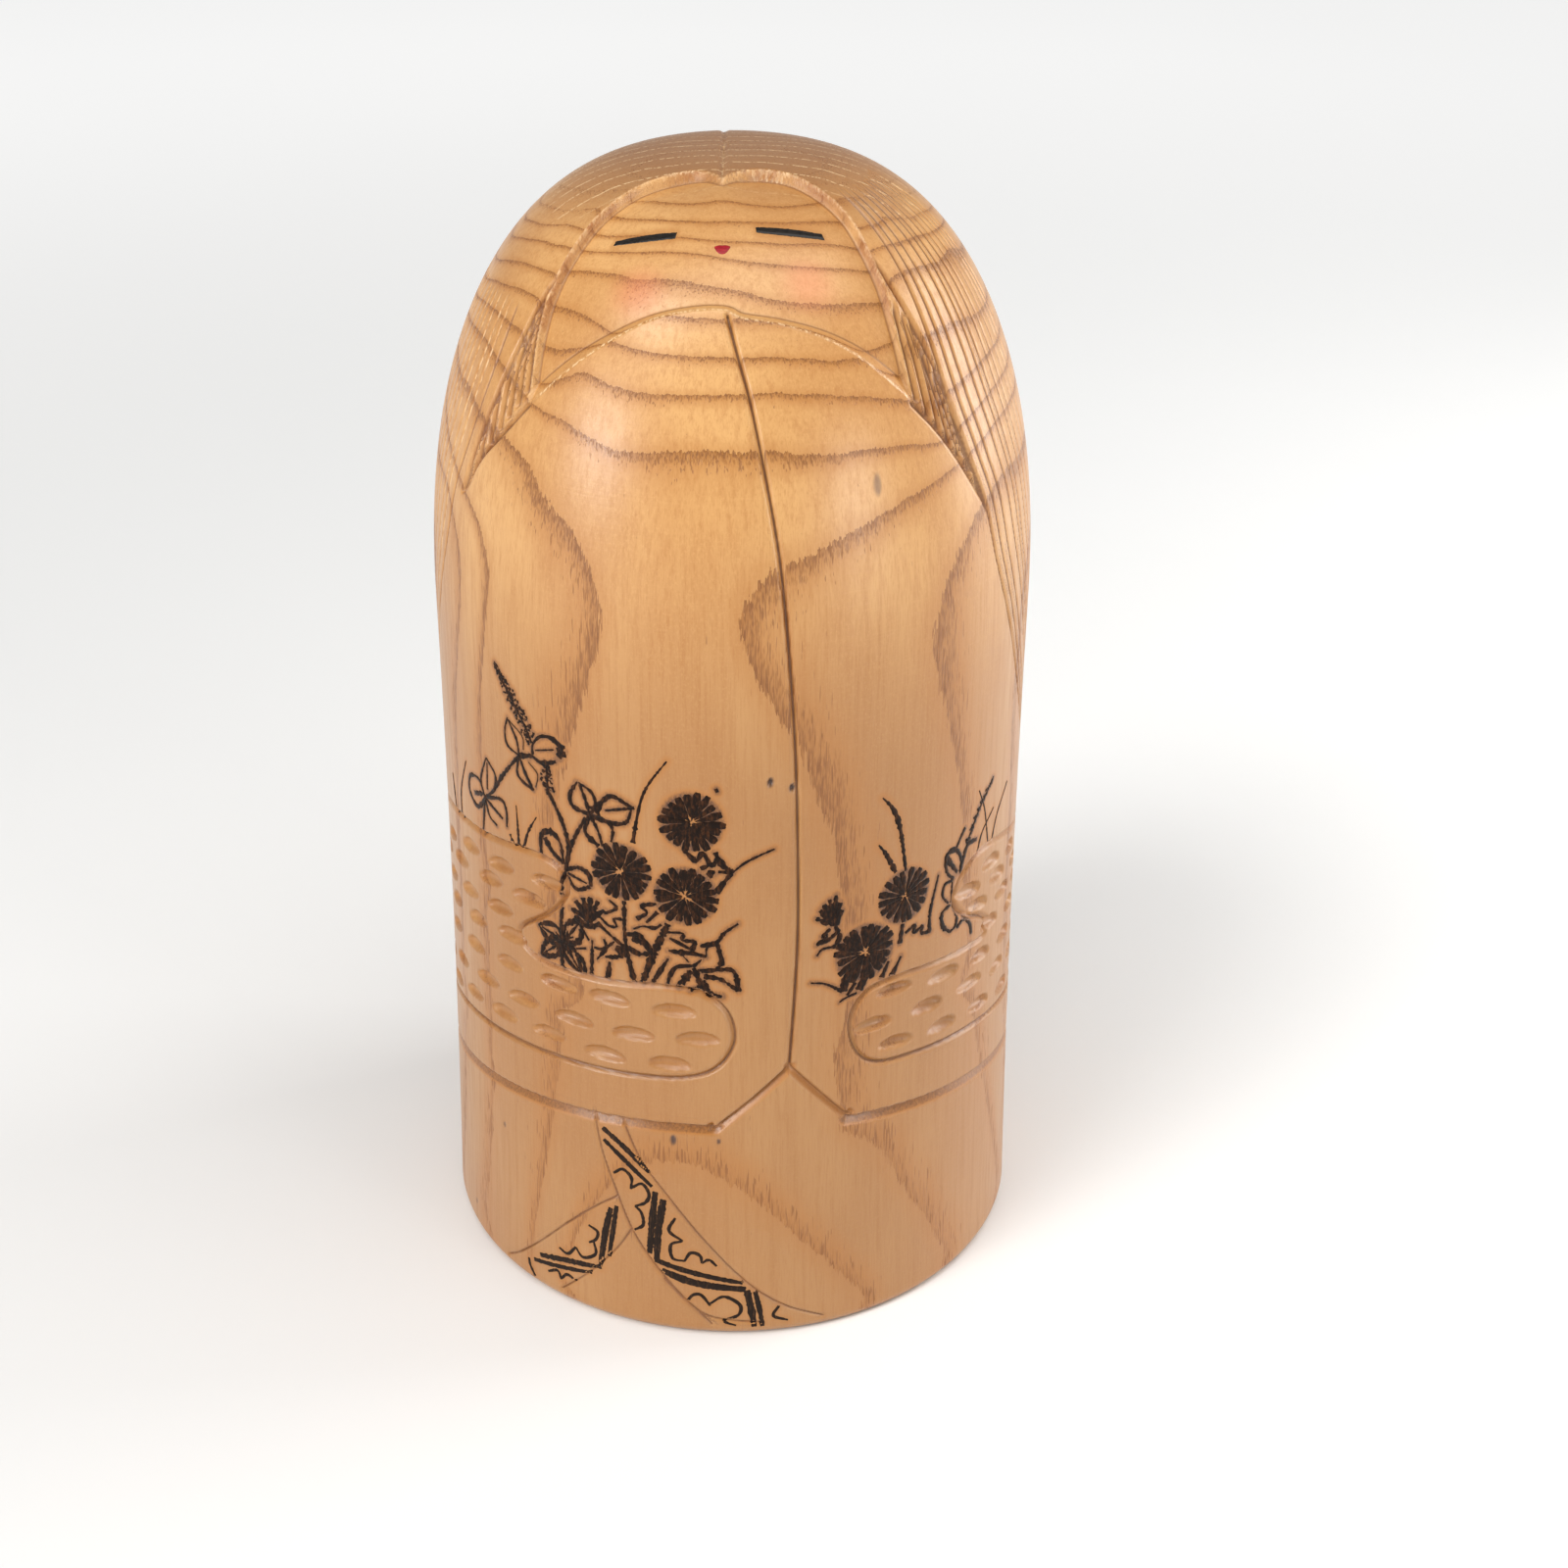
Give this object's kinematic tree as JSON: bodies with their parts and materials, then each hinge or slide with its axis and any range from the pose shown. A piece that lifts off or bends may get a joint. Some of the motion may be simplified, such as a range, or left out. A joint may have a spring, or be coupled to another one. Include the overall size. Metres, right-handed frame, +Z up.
{
  "type": "kokeshi doll",
  "caption": "Armless turned wooden doll with a domed top, a recessed upturned face, a carved hair cap and robes, and burned flower sprays.",
  "frame": {"origin": "middle of the flat foot, on the surface the doll stands on", "axes": "+Z up along the turning axis, the face looks along -Y, +X to the right of a viewer who looks at the face"},
  "size_m": [0.1338, 0.1338, 0.25],
  "materials": {
    "wood": "satin wax over light ring-porous wood",
    "burned_wood": "charred, slightly glossy",
    "black_ink": "black ink soaked into wood",
    "black_lacquer": "glossy black lacquer",
    "red_lacquer": "red lacquer"
  },
  "bodies": {
    "root": {"carved_block": "wood", "left_eye_ink": "black_lacquer", "right_eye_ink": "black_lacquer", "lip_lacquer": "red_lacquer", "flower_head_left_upper": "burned_wood", "flower_head_left_middle": "burned_wood", "flower_head_left_lower": "burned_wood", "flower_head_right_upper": "burned_wood", "flower_head_right_lower": "burned_wood", "leaf_spray_left_upper": "burned_wood", "leaf_spray_left_lower": "burned_wood", "leaf_spray_right": "burned_wood", "grass_left": "burned_wood", "grass_right": "burned_wood", "under_robe_pattern": "black_ink"}
  },
  "joints": []
}
